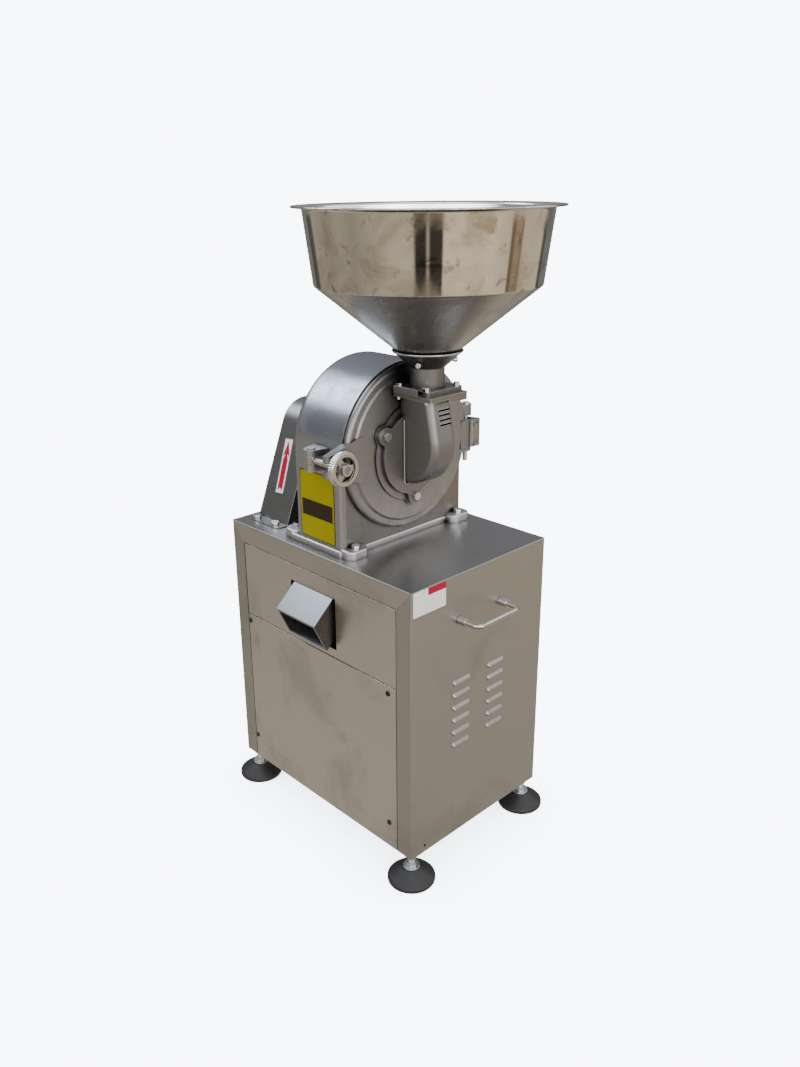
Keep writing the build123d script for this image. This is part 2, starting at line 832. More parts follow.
with BuildPart() as handle_left:
    mirror(handle_right.part, about=Plane.YZ)
write(handle_left, "handle_left")

with BuildPart() as handle_ferrules:
    for sx in (-1, 1):
        with BuildSketch(Plane.YZ.offset(sx * half_w)):
            with Locations(*[(y, handle_z) for y in handle_ends]):
                Circle(ferrule_r)
                Circle(handle_rod_r + fit, mode=Mode.SUBTRACT)
        extrude(amount=sx * ferrule_length)
write(handle_ferrules, "handle_ferrules")

# Flour chute: a sloping duct from under the casing to a hemmed mouth in front of the cabinet
roof_run = (under_top - cab_top - chute_top_z) / tan(radians(chute_roof_angle))
roof_top = (-half_d + roof_run, under_top)
mouth_top = (mouth_top_y, cab_top + chute_top_z + (mouth_top_y + half_d) * tan(radians(chute_roof_angle)))
mouth_foot = (mouth_bottom[0], cab_top + mouth_bottom[1])
floor_run = (under_top - mouth_foot[1]) / tan(radians(chute_floor_angle))
floor_top = (mouth_foot[0] + floor_run, under_top)
chute_width = chute_x[1] - chute_x[0]
chute_mid = sum(chute_x) / 2
mouth_edge = Line(mouth_top, mouth_foot)
mouth_mid = mouth_edge @ 0.5
mouth_plane = Plane(
    (chute_mid, mouth_mid.X, mouth_mid.Y),
    x_dir=(1, 0, 0),
    z_dir=(0, -(mouth_top[1] - mouth_foot[1]), mouth_top[0] - mouth_foot[0]),
)
with BuildPart() as chute:
    with BuildSketch(Plane.YZ.offset(chute_mid)):
        Polygon(mouth_top, roof_top, floor_top, mouth_foot)
    extrude(amount=chute_width / 2, both=True)
    with BuildSketch(Plane.XY.offset(under_top)):
        with Locations((chute_mid, (roof_top[0] + floor_top[0]) / 2)):
            Rectangle(chute_width + 2 * chute_flange, floor_top[0] - roof_top[0] + 2 * chute_flange)
    extrude(amount=-sheet)
    with BuildSketch(Plane.YZ.offset(chute_mid)):
        Polygon(mouth_top, roof_top, floor_top, mouth_foot)
        offset(amount=-sheet, kind=Kind.INTERSECTION, mode=Mode.REPLACE)
    extrude(amount=chute_width / 2 - sheet, both=True, mode=Mode.SUBTRACT)
    with BuildSketch(mouth_plane):
        Rectangle(chute_width - 2 * mouth_hem, mouth_edge.length - 2 * mouth_hem)
    extrude(amount=2 * sheet, both=True, mode=Mode.SUBTRACT)
    with BuildSketch(Plane.XY.offset(under_top)):
        with Locations((chute_mid, (roof_top[0] + floor_top[0]) / 2)):
            Rectangle(chute_width - 2 * sheet, floor_top[0] - roof_top[0] - 6 * sheet)
    extrude(amount=-2 * sheet, mode=Mode.SUBTRACT)
write(chute, "chute")

# Belt guard: a folded cover over the belts, open below, with a bolted tab on each side
guard_length = guard_x[1] - guard_x[0]
with BuildPart() as belt_guard:
    with BuildSketch(Plane.YZ.offset(guard_x[0])):
        with Locations((0, cab_top + guard_top_z)):
            Circle(guard_top_r)
        with Locations((0, cab_top + sheet / 2)):
            Rectangle(2 * guard_foot_half, sheet)
        make_hull()
    extrude(amount=guard_length)
    with BuildSketch(Plane.XY.offset(cab_top)):
        with Locations((sum(guard_x) / 2, 0)):
            RectangleRounded(guard_length, 2 * (guard_foot_half + guard_tab), guard_tab_round)
        with Locations(*guard_bolts_xy):
            Circle(guard_bolt_r + bolt_slack, mode=Mode.SUBTRACT)
    extrude(amount=sheet)
    with BuildSketch(Plane.YZ.offset(guard_x[0] + sheet)):
        with Locations((0, cab_top + guard_top_z)):
            Circle(guard_top_r - sheet)
        with Locations((0, cab_top - sheet / 2)):
            Rectangle(2 * (guard_foot_half - sheet), sheet)
        make_hull()
    extrude(amount=guard_length - 2 * sheet, mode=Mode.SUBTRACT)
    with BuildSketch(across(guard_x[1])):
        Circle(shoulder_r + sheet)
    extrude(amount=-2 * sheet, mode=Mode.SUBTRACT)
write(belt_guard, "belt_guard")
write(
    hex_bolts(
        [(x, y, cab_top + sheet) for x, y in guard_bolts_xy],
        (0, 0, 1), guard_bolt_hex, guard_bolt_head, guard_bolt_r, 4 * sheet,
    ),
    "guard_bolts",
)


# Mill casing: a cast arch on a lugged base, hollow, with hinge knuckles and a clamp fork
def lug(x_from, x_to, y):
    """Thick rounded end of the base flange, where a bolt goes."""
    with BuildPart() as block:
        with BuildSketch(Plane.XY.offset(cab_top)):
            with Locations(((x_from + x_to) / 2, y)):
                RectangleRounded(abs(x_to - x_from), lug_width, lug_round)
        extrude(amount=lug_thick)
        fillet(block.faces().sort_by(Axis.Z)[-1].edges(), base_round)
    return block.part


with BuildPart() as mill_casing:
    with BuildSketch(Plane.XY.offset(cab_top)):
        with Locations(((base_front + base_back) / 2, 0)):
            RectangleRounded(base_front - base_back, 2 * base_half, 2 * base_round)
    extrude(amount=base_thick)
    fillet(mill_casing.faces().sort_by(Axis.Z)[-1].edges(), base_round)
    for y in (-lug_y, lug_y):
        add(lug(front_bolt_x - lug_width / 2, front_lug_tip, y))
        add(lug(back_lug_tip, back_bolt_x + lug_width / 2, y))
    with BuildPart(mode=Mode.PRIVATE) as arch:
        with BuildSketch(Plane.YZ.offset(casing_back)):
            with Locations((0, shaft_z)):
                Circle(casing_r)
            with Locations((0, cab_top + shaft_height / 2)):
                Rectangle(2 * casing_r, shaft_height)
        extrude(amount=split_x - casing_back)
        back_edges = arch.faces().sort_by(Axis.X)[0].edges()
        fillet(back_edges.sort_by(Axis.Z)[1:], casing_back_round)
        with BuildSketch(Plane.XY.offset(cab_top)):
            for sy in (-1, 1):
                corner_y = sy * (casing_r - casing_edge_round)
                with BuildLine():
                    Polyline(
                        (split_x, corner_y),
                        (split_x, sy * casing_r),
                        (split_x - casing_edge_round, sy * casing_r),
                    )
                    RadiusArc(
                        (split_x - casing_edge_round, sy * casing_r),
                        (split_x, corner_y),
                        sy * casing_edge_round,
                    )
                make_face()
        extrude(amount=shaft_height - 3.5 * casing_edge_round, mode=Mode.SUBTRACT)
    add(arch.part)
    # Hollow inside, with the mouth in front, the outlet below and the seat of the sieve
    with BuildSketch(across(casing_back + casing_back_wall)):
        Circle(casing_r - casing_wall)
        with Locations((0, (base_thick - shaft_height) / 2)):
            Rectangle(2 * (casing_r - casing_wall), shaft_height - base_thick)
    extrude(amount=split_x - casing_wall - casing_back - casing_back_wall, mode=Mode.SUBTRACT)
    with BuildSketch(across(split_x)):
        Circle(mouth_r)
    extrude(amount=-casing_wall, mode=Mode.SUBTRACT)
    with BuildSketch(Plane.XY.offset(cab_top)):
        with Locations((sum(outlet_x) / 2, sum(outlet_y) / 2)):
            Rectangle(outlet_x[1] - outlet_x[0], outlet_y[1] - outlet_y[0])
    extrude(amount=base_thick, mode=Mode.SUBTRACT)
    with BuildSketch(shaft_profile):
        Polygon(
            (casing_back + casing_back_wall, sieve_r - sieve_wall - sieve_seat_in),
            (sieve_back, sieve_r - sieve_wall - sieve_seat_in),
            (sieve_back, sieve_r + slack),
            (sieve_back + sieve_socket, sieve_r + slack),
            (sieve_back + sieve_socket, sieve_r + sieve_seat_out),
            (casing_back + casing_back_wall, sieve_r + sieve_seat_out),
        )
    revolve(axis=shaft_axis)
    # Hinge knuckles and clamp fork
    for low, high in (lower_knuckle, upper_knuckle):
        with BuildSketch(Plane.XY.offset(cab_top + low)):
            with Locations((hinge_x, hinge_y)):
                Circle(knuckle_r)
            with Locations((hinge_x - knuckle_root / 2, casing_r - casing_wall * 3 / 4)):
                Rectangle(knuckle_root, casing_wall / 2)
            make_hull()
        extrude(amount=high - low)
    for low in (clamp_z + fork_gap / 2, clamp_z - fork_gap / 2 - fork_ear):
        with BuildSketch(Plane.XY.offset(cab_top + low)):
            with Locations((clamp_x, clamp_y)):
                Circle(fork_r)
            with Locations((clamp_x, -casing_r + casing_wall / 2)):
                Rectangle(fork_root, casing_wall / 2)
            make_hull()
        extrude(amount=fork_ear)
    # Holes
    with BuildSketch(Plane.XY.offset(cab_top)):
        with Locations((hinge_x, hinge_y)):
            Circle(hinge_pin_r + fit)
        with Locations((clamp_x, clamp_y)):
            Circle(clamp_pin_r + fit)
    extrude(amount=2 * shaft_height, mode=Mode.SUBTRACT)
    with BuildSketch(Plane.XY.offset(cab_top)):
        with Locations(*casing_bolts_xy):
            Circle(casing_bolt_r + bolt_slack)
    extrude(amount=lug_thick, mode=Mode.SUBTRACT)
    with BuildSketch(across(casing_back)):
        Circle(journal_r + 5 * slack)
    extrude(amount=casing_back_wall, mode=Mode.SUBTRACT)
    with BuildSketch(across(casing_back)):
        with PolarLocations(housing_bolt_pcr, 4, start_angle=45):
            Circle(housing_bolt_r + fit)
    extrude(amount=housing_bolt_depth, mode=Mode.SUBTRACT)
write(mill_casing, "mill_casing")
write(
    hex_bolts(
        [(x, y, cab_top + lug_thick) for x, y in casing_bolts_xy],
        (0, 0, 1), casing_bolt_hex, casing_bolt_head, casing_bolt_r, lug_thick + sheet + 3 * angle_wall,
    ),
    "casing_bolts",
)

# Pins of the hinge and of the clamp
hinge_pin_top = cab_top + upper_knuckle[1]
with BuildPart() as hinge_pin:
    with BuildSketch(Plane.XY.offset(hinge_pin_top)):
        with Locations((hinge_x, hinge_y)):
            Circle(hinge_pin_r + hinge_pin_lip)
    extrude(amount=hinge_pin_head)
    fillet(hinge_pin.faces().sort_by(Axis.Z)[-1].edges(), hinge_pin_head / 3)
    with BuildSketch(Plane.XY.offset(hinge_pin_top)):
        with Locations((hinge_x, hinge_y)):
            Circle(hinge_pin_r)
    extrude(amount=-(upper_knuckle[1] - lower_knuckle[0] + hinge_pin_tail))
write(hinge_pin, "hinge_pin")

clamp_pin_top = cab_top + clamp_z + fork_gap / 2 + fork_ear
with BuildPart() as clamp_pin:
    with BuildSketch(Plane.XY.offset(clamp_pin_top)):
        with Locations((clamp_x, clamp_y)):
            Circle(clamp_pin_r + clamp_pin_lip)
    extrude(amount=clamp_pin_head)
    fillet(clamp_pin.faces().sort_by(Axis.Z)[-1].edges(), clamp_pin_head / 3)
    with BuildSketch(Plane.XY.offset(clamp_pin_top)):
        with Locations((clamp_x, clamp_y)):
            Circle(clamp_pin_r)
    extrude(amount=-(fork_gap + 2 * fork_ear + clamp_pin_head))
write(clamp_pin, "clamp_pin")

# Sieve ring round the rotor
with BuildPart() as sieve_ring:
    with BuildSketch(across(sieve_back)):
        Circle(sieve_r)
        Circle(sieve_r - sieve_wall, mode=Mode.SUBTRACT)
    extrude(amount=sieve_front - sieve_back)
write(sieve_ring, "sieve_ring")

# Bearing housing on the casing's back, its bolts and the two bearings
bearing_seat = bearing_width + 1
with BuildPart() as bearing_housing:
    with BuildSketch(shaft_profile):
        Polygon(
            (housing_back, bearing_r),
            (housing_back, housing_r),
            (casing_back - housing_flange, housing_r),
            (casing_back - housing_flange, housing_flange_r),
            (casing_back, housing_flange_r),
            (casing_back, bearing_r),
            (casing_back - bearing_seat, bearing_r),
            (casing_back - bearing_seat, housing_bore_r),
            (housing_back + bearing_seat, housing_bore_r),
            (housing_back + bearing_seat, bearing_r),
        )
    revolve(axis=shaft_axis)
    with BuildSketch(across(casing_back)):
        with PolarLocations(housing_bolt_pcr, 4, start_angle=45):
            Circle(housing_bolt_r + bolt_slack)
    extrude(amount=-housing_flange, mode=Mode.SUBTRACT)
write(bearing_housing, "bearing_housing")

with Locations(across(casing_back - housing_flange)):
    housing_bolt_places = [
        place.position for place in PolarLocations(housing_bolt_pcr, 4, start_angle=45).locations
    ]
write(
    hex_bolts(
        housing_bolt_places, (-1, 0, 0),
        housing_bolt_hex, housing_bolt_head, housing_bolt_r, housing_flange + housing_bolt_depth,
    ),
    "bearing_housing_bolts",
)

with BuildPart() as bearings:
    for x in (housing_back + bearing_recess, casing_back - bearing_width):
        with BuildSketch(across(x)):
            Circle(bearing_r - fit)
            Circle(journal_r + fit, mode=Mode.SUBTRACT)
        extrude(amount=bearing_width)
write(bearings, "bearings")


# Main shaft with the rotor and the driven pulley
def keyway(top_r, plane):
    """Slot for a key, sunk half its height into a shaft of this radius."""
    with BuildPart() as slot:
        with BuildSketch(plane.offset(-key_width / 2 - fit)):
            with Locations((pulley_x, top_r)):
                Rectangle(key_length + 2 * fit, key_height + 2 * fit)
        extrude(amount=key_width + 2 * fit)
    return slot.part


def key(top_r, plane):
    """Parallel key, half in the shaft and half in the pulley."""
    with BuildPart() as bar:
        with BuildSketch(plane.offset(-key_width / 2)):
            with Locations((pulley_x, top_r)):
                Rectangle(key_length, key_height)
        extrude(amount=key_width)
    return bar


def pulley(radius, bore_r, plane, axis):
    """Pulley with two V grooves that hold the belts flush with its rim."""
    groove_depth = belt_height + groove_room
    flank = (belt_top - belt_bottom) / 2 * groove_depth / belt_height
    start = pulley_x - pulley_width / 2
    rim = [(start, radius)]
    for middle in (pulley_x - groove_spacing / 2, pulley_x + groove_spacing / 2):
        half_top = belt_top / 2 + bolt_slack
        rim += [
            (middle - half_top, radius),
            (middle - half_top + flank, radius - groove_depth),
            (middle + half_top - flank, radius - groove_depth),
            (middle + half_top, radius),
        ]
    with BuildPart() as wheel:
        with BuildSketch(plane):
            Polygon((start, bore_r), *rim, (start + pulley_width, radius), (start + pulley_width, bore_r))
        revolve(axis=axis)
    return wheel.part


journal_back = housing_back - journal_reach
with BuildPart() as main_shaft:
    with BuildSketch(shaft_profile):
        Polygon(
            (pulley_shaft_end, 0),
            (pulley_shaft_end, pulley_shaft_r),
            (journal_back, pulley_shaft_r),
            (journal_back, journal_r),
            (shoulder_back, journal_r),
            (shoulder_back, shoulder_r),
            (hub_back, shoulder_r),
            (hub_back, rotor_seat_r),
            (disc_face, rotor_seat_r),
            (disc_face, thread_r),
            (thread_end, thread_r),
            (thread_end, 0),
        )
    revolve(axis=shaft_axis)
    add(keyway(pulley_shaft_r, shaft_profile), mode=Mode.SUBTRACT)
write(main_shaft, "main_shaft")
write(key(pulley_shaft_r, shaft_profile), "pulley_key")

with BuildPart() as driven_pulley:
    add(pulley(mill_pulley_r, pulley_shaft_r + fit, shaft_profile, shaft_axis))
    add(keyway(pulley_shaft_r, shaft_profile), mode=Mode.SUBTRACT)
write(driven_pulley, "driven_pulley")

with BuildPart() as rotor_disc:
    with BuildSketch(across(disc_face)):
        Circle(disc_r)
    extrude(amount=-disc_thick)
    with BuildSketch(across(disc_face - disc_thick)):
        Circle(hub_r)
    extrude(amount=hub_back - disc_face + disc_thick)
    with BuildSketch(across(disc_face)):
        for row_r, count in zip(rotor_row_r, rotor_row_count):
            with PolarLocations(row_r, count):
                Rectangle(tooth_radial, tooth_width)
    extrude(amount=rotor_tooth)
    with BuildSketch(across(disc_face)):
        Circle(rotor_seat_r + fit)
    extrude(amount=hub_back - disc_face, mode=Mode.SUBTRACT)
write(rotor_disc, "rotor_disc")

with BuildPart() as rotor_nut:
    with BuildSketch(across(disc_face)):
        RegularPolygon(rotor_nut_hex / 2, 6, major_radius=False)
        Circle(thread_r + fit, mode=Mode.SUBTRACT)
    extrude(amount=rotor_nut_h)
write(rotor_nut, "rotor_nut")


# Belts: two V-belts round both pulleys, flush with the pulleys' rims
def belt_outline(depth, x):
    """Outline round both pulleys at this X, this far in from their rims."""
    with BuildSketch(Plane.YZ.offset(x)) as outline:
        with Locations((0, shaft_z)):
            Circle(mill_pulley_r - depth)
        with Locations((0, motor_z)):
            Circle(motor_pulley_r - depth)
        make_hull()
    return outline.sketch


with BuildPart() as drive_belts:
    for middle in (pulley_x - groove_spacing / 2, pulley_x + groove_spacing / 2):
        with BuildPart(mode=Mode.PRIVATE) as belt:
            extrude(belt_outline(0, middle - belt_top / 2), amount=belt_top)
            inner_loop = belt_outline(belt_height, middle - belt_bottom / 2)
            extrude(inner_loop, amount=belt_bottom, mode=Mode.SUBTRACT)
            for side in (-1, 1):
                loft(
                    [
                        belt_outline(belt_height, middle + side * belt_bottom / 2).face(),
                        belt_outline(belt_land, middle + side * belt_top / 2).face(),
                    ],
                    mode=Mode.SUBTRACT,
                )
        add(belt.part)
write(drive_belts, "drive_belts")

# Motor: plate, finned housing with feet, terminal box, fan cover and bolts
with BuildPart() as motor_base:
    with BuildSketch(Plane.XY.offset(motor_rail_top)):
        Rectangle(motor_plate[0], motor_plate[1])
        with Locations(*motor_bolts_xy):
            Circle(motor_bolt_r + bolt_slack, mode=Mode.SUBTRACT)
    extrude(amount=motor_plate[2])
write(motor_base, "motor_plate")

motor_end = Plane((motor_front, 0, motor_z), x_dir=(0, 1, 0), z_dir=(1, 0, 0))
with BuildPart() as motor_housing:
    with BuildSketch(motor_end):
        Circle(motor_r)
    extrude(amount=motor_back - motor_front)
    with BuildSketch(motor_end.offset(2 * fin_out)):
        Circle(motor_r - fin_out)
        with PolarLocations(motor_r, motor_fins):
            Rectangle(2 * fin_out, fin_width)
    extrude(amount=motor_back - motor_front - 4 * fin_out)
    for x in (-motor_foot_x, motor_foot_x):
        with BuildSketch(Plane.YZ.offset(x - motor_foot[0] / 2)):
            with Locations((0, motor_plate_top + motor_foot[2] / 2)):
                Rectangle(motor_foot[1], motor_foot[2])
            with Locations((0, (motor_plate_top + motor_z) / 2)):
                Rectangle(motor_r, motor_z - motor_plate_top)
        extrude(amount=motor_foot[0])
    with BuildSketch(Plane.XY.offset(motor_plate_top)):
        with Locations(*motor_bolts_xy):
            Circle(motor_bolt_r + bolt_slack)
    extrude(amount=motor_foot[2], mode=Mode.SUBTRACT)
    with BuildSketch(motor_end):
        Circle(motor_shaft_r + fit)
    extrude(amount=motor_back - motor_front, mode=Mode.SUBTRACT)
write(motor_housing, "motor_housing")

with BuildPart() as motor_terminal_box:
    with BuildSketch(Plane.XY.offset(motor_z + motor_r + fin_out)):
        RectangleRounded(terminal_box[0], terminal_box[1], fin_out / 2)
    extrude(amount=terminal_box[2])
write(motor_terminal_box, "motor_terminal_box")

cover_end = motor_end.offset(cover_back - motor_front)
with BuildPart() as motor_fan_cover:
    with BuildSketch(motor_end.offset(motor_back - motor_front)):
        Circle(motor_r)
    extrude(amount=cover_back - motor_back)
    with BuildSketch(motor_end.offset(motor_back - motor_front)):
        Circle(motor_r - cover_wall)
    extrude(amount=cover_back - motor_back - cover_wall, mode=Mode.SUBTRACT)
    with BuildSketch(cover_end):
        with PolarLocations(motor_r / 2, 12):
            Circle(fin_out)
    extrude(amount=-cover_wall, mode=Mode.SUBTRACT)
write(motor_fan_cover, "motor_fan_cover")

write(
    hex_bolts(
        [(x, y, motor_plate_top + motor_foot[2]) for x, y in motor_bolts_xy],
        (0, 0, 1), motor_bolt_hex, motor_bolt_head, motor_bolt_r,
        motor_foot[2] + motor_plate[2] + 3 * angle_wall,
    ),
    "motor_bolts",
)

# Motor shaft with its pulley, key and fan
with BuildPart() as motor_shaft:
    with BuildSketch(motor_profile):
        with Locations(((motor_shaft_front + motor_shaft_back) / 2, motor_shaft_r / 2)):
            Rectangle(motor_shaft_back - motor_shaft_front, motor_shaft_r)
    revolve(axis=motor_axis)
    add(keyway(motor_shaft_r, motor_profile), mode=Mode.SUBTRACT)
write(motor_shaft, "motor_shaft")
write(key(motor_shaft_r, motor_profile), "motor_key")

with BuildPart() as motor_pulley:
    add(pulley(motor_pulley_r, motor_shaft_r + fit, motor_profile, motor_axis))
    add(keyway(motor_shaft_r, motor_profile), mode=Mode.SUBTRACT)
write(motor_pulley, "motor_pulley")

fan_plane = motor_end.offset(motor_shaft_back - fan_width - motor_front)
with BuildPart() as motor_fan:
    with BuildSketch(fan_plane):
        Circle(2 * motor_shaft_r)
        with PolarLocations(fan_r / 2, fan_blades):
            Rectangle(fan_r, fin_width)
        Circle(motor_shaft_r + fit, mode=Mode.SUBTRACT)
    extrude(amount=fan_width)
write(motor_fan, "motor_fan")

# Door: a round cast lid with the clamp's ear, the hinge block and the boss of the feed box
plate_plane = Plane((boss_front, 0, cab_top + plate_z), x_dir=(0, 1, 0), z_dir=(1, 0, 0))


def lugged_disc(radius, lug_r):
    """Disc on the plate's plane with a lug at each bolt, blended in by hollow roundings."""
    with BuildSketch(plate_plane) as outline:
        Circle(radius)
        for angle in plate_lugs:
            with PolarLocations(plate_lug_pcr, 1, start_angle=angle):
                Circle(lug_r)
        corners = outline.vertices().group_by(lambda corner: round(Vector(corner).length, 2))
        fillet(max(corners, key=len), plate_lug_neck)
    return outline.sketch


with BuildPart() as door:
    with BuildSketch(shaft_profile):
        Polygon(
            (spigot_back, 0),
            (spigot_back, spigot_r),
            (door_back, spigot_r),
            (door_back, door_r),
            (door_rim_front, door_r),
            (door_rim_front, door_face_r + door_face),
            (door_front, door_face_r),
            (door_front, 0),
        )
    revolve(axis=shaft_axis)
    rim_edges = door.edges().filter_by(GeomType.CIRCLE).group_by(SortBy.RADIUS)[-1]
    fillet(rim_edges.sort_by(Axis.X)[-1], door_rim_round)
    extrude(lugged_disc(boss_r, plate_lug_r + boss), amount=-2 * boss)
    # Ear with the slot that the swing bolt drops into
    with BuildSketch(Plane.YZ.offset(door_back)):
        Polygon(
            (ear_end, cab_top + clamp_z + ear_half),
            (ear_root_y, cab_top + clamp_z + ear_root_half),
            (ear_root_y, cab_top + clamp_z - ear_root_half),
            (ear_end, cab_top + clamp_z - ear_half),
        )
    extrude(amount=ear_thick)
    slot_r = swing_bolt_r + ear_slot_slack
    with BuildSketch(Plane.YZ.offset(door_back)):
        with Locations((clamp_y, cab_top + clamp_z)):
            Circle(slot_r)
        with Locations(((clamp_y + ear_end) / 2 - slot_r, cab_top + clamp_z)):
            Rectangle(clamp_y - ear_end + 2 * slot_r, 2 * slot_r)
    extrude(amount=ear_thick, mode=Mode.SUBTRACT)
    ear_corners = door.edges().filter_by(Axis.Z).group_by(Axis.Y)[0].group_by(Axis.X)[-1]
    fillet(ear_corners, ear_tip_round)
    # Hinge block round the pin, on an arm of the door, with two ribs in front
    block_bottom = cab_top + lower_knuckle[1] + slack
    block_height = cab_top + hinge_block_top - block_bottom
    block_y = (hinge_y - knuckle_r, hinge_y + hinge_block_out)
    with BuildSketch(Plane.XY.offset(block_bottom)):
        with Locations((hinge_x, hinge_y)):
            Circle(knuckle_r)
        block_corner_x = hinge_block_front - hinge_rib
        with Locations((block_corner_x, block_y[0] + hinge_rib), (block_corner_x, block_y[1] - hinge_rib)):
            Circle(hinge_rib)
        make_hull()
        with Locations(((door_back + door_front) / 2, (door_face_r + hinge_y) / 2)):
            Rectangle(door_front - door_back, hinge_y - door_face_r)
    extrude(amount=block_height)
    for z in (block_bottom + hinge_rib / 4, block_bottom + block_height - 2 * hinge_rib):
        with BuildSketch(Plane.XY.offset(z)):
            with Locations((hinge_block_front, sum(block_y) / 2)):
                rib_length = block_y[1] - block_y[0] - 2 * hinge_rib
                RectangleRounded(2 * hinge_rib_out, rib_length, hinge_rib_out / 2)
        extrude(amount=hinge_rib)
    # Holes: hinge pin, throat, bolts of the feed box and screws of the stator
    with BuildSketch(Plane.XY.offset(block_bottom)):
        with Locations((hinge_x, hinge_y)):
            Circle(hinge_pin_r + fit)
    extrude(amount=block_height, mode=Mode.SUBTRACT)
    with BuildSketch(across(spigot_back)):
        Circle(throat_r)
    extrude(amount=boss_front - spigot_back, mode=Mode.SUBTRACT)
    with BuildSketch(plate_plane):
        for angle in plate_lugs:
            with PolarLocations(plate_lug_pcr, 1, start_angle=angle):
                Circle(plate_bolt_r + fit)
    extrude(amount=-3 * plate_bolt_r, mode=Mode.SUBTRACT)
    with BuildSketch(across(spigot_back)):
        with PolarLocations(stator_screw_pcr, 4, start_angle=45):
            Circle(stator_screw_r + fit)
    extrude(amount=3 * stator_screw_r, mode=Mode.SUBTRACT)
write(door, "door")

with BuildPart() as door_seal:
    with BuildSketch(across(split_x + slack)):
        Circle(seal_r[1])
        Circle(seal_r[0], mode=Mode.SUBTRACT)
    extrude(amount=door_gap - slack)
write(door_seal, "door_seal")

# Stator: a toothed disc screwed to the door's back
with BuildPart() as stator_disc:
    with BuildSketch(across(stator_face)):
        Circle(stator_r)
        Circle(throat_r, mode=Mode.SUBTRACT)
        with PolarLocations(stator_screw_pcr, 4, start_angle=45):
            Circle(stator_screw_r + bolt_slack, mode=Mode.SUBTRACT)
    extrude(amount=stator_thick)
    with BuildSketch(across(stator_face)):
        with PolarLocations(stator_screw_pcr, 4, start_angle=45):
            Circle(stator_screw_head_r + bolt_slack)
    extrude(amount=stator_screw_head, mode=Mode.SUBTRACT)
    with BuildSketch(across(stator_face)):
        for row_r, count in zip(stator_row_r, stator_row_count):
            with PolarLocations(row_r, count):
                Rectangle(tooth_radial, tooth_width)
    extrude(amount=-stator_tooth)
write(stator_disc, "stator_disc")

with BuildPart() as stator_screws:
    with BuildSketch(across(stator_face)):
        with PolarLocations(stator_screw_pcr, 4, start_angle=45):
            Circle(stator_screw_head_r)
    extrude(amount=stator_screw_head)
    with BuildSketch(across(stator_face)):
        with PolarLocations(stator_screw_pcr, 4, start_angle=45):
            Circle(stator_screw_r)
    extrude(amount=stator_thick + 2 * stator_screw_r)
write(stator_screws, "stator_screws")

# Feed box: a cast box on a round plate with three lugs, open above and into the door's throat
box_back = boss_front
box_sill = cab_top + box_top


def box_side(inset):
    """The box's outline seen from the side, this far inside its outer faces."""
    with BuildSketch(Plane.XZ) as outline:
        with BuildLine():
            front = Line((box_top_x, box_sill), (box_knee[0], box_knee_z))
            TangentArc(front @ 1, (box_foot[0], box_foot_z), tangent=front % 1)
            Polyline(
                (box_foot[0], box_foot_z),
                (box_back, box_foot_z),
                (box_back, box_sill),
                (box_top_x, box_sill),
            )
        make_face()
        offset(amount=-inset, mode=Mode.REPLACE)
    return outline.sketch


with BuildPart() as feed_box:
    extrude(box_side(0), amount=box_half, both=True)
    front_edges = feed_box.edges().filter_by(lambda edge: (edge @ 0.5).X > box_top_x - box_wall)
    fillet(front_edges.filter_by(Axis.Y, reverse=True), box_round)
    with BuildSketch(Plane.XY.offset(box_sill)):
        with Locations((sum(top_flange_x) / 2, 0)):
            RectangleRounded(top_flange_x[1] - top_flange_x[0], 2 * top_flange_half, box_wall / 2)
    extrude(amount=top_flange)
    with BuildSketch(Plane.XY.offset(box_sill)):
        with Locations((top_flange_x[1] - flange_lip[0] / 2, top_flange_half - flange_lip[1] / 2)):
            RectangleRounded(flange_lip[0], flange_lip[1], box_wall / 2)
    extrude(amount=-flange_lip[2])
    extrude(lugged_disc(plate_r, plate_lug_r), amount=plate_thick)
    # Hollow: the same outline one wall further in, the way up to the neck, and the throat
    extrude(box_side(box_wall), amount=box_half - box_wall, both=True, mode=Mode.SUBTRACT)
    with BuildSketch(Plane.XY.offset(box_sill + top_flange)):
        with Locations((neck_x, 0)):
            Circle(box_half - box_wall)
    extrude(amount=-top_flange - 2 * box_wall, mode=Mode.SUBTRACT)
    with BuildSketch(across(box_back)):
        Circle(box_half - box_wall)
    extrude(amount=2 * box_wall, mode=Mode.SUBTRACT)
    # Slots in the front, bolt holes in the plate and in the flange
    with BuildSketch(Plane.YZ.offset(box_top_x - 2 * box_wall)):
        for row in range(box_slots):
            with Locations((box_slot_y, cab_top + box_slot_z - row * box_slot_pitch)):
                Rectangle(*box_slot)
    extrude(amount=4 * box_wall, mode=Mode.SUBTRACT)
    with BuildSketch(plate_plane):
        for angle in plate_lugs:
            with PolarLocations(plate_lug_pcr, 1, start_angle=angle):
                Circle(plate_bolt_r + bolt_slack)
    extrude(amount=plate_thick, mode=Mode.SUBTRACT)
    with BuildSketch(Plane.XY.offset(box_sill + top_flange)):
        with Locations(*neck_bolts_xy):
            Circle(neck_bolt_r + fit)
    extrude(amount=-top_flange, mode=Mode.SUBTRACT)
write(feed_box, "feed_box")

with Locations(plate_plane.offset(plate_thick)):
    plate_bolt_places = [
        PolarLocations(plate_lug_pcr, 1, start_angle=angle).locations[0].position for angle in plate_lugs
    ]
write(
    hex_bolts(
        plate_bolt_places, (1, 0, 0),
        plate_bolt_hex, plate_bolt_head, plate_bolt_r, plate_thick + 2 * plate_bolt_r,
    ),
    "feed_box_bolts",
)

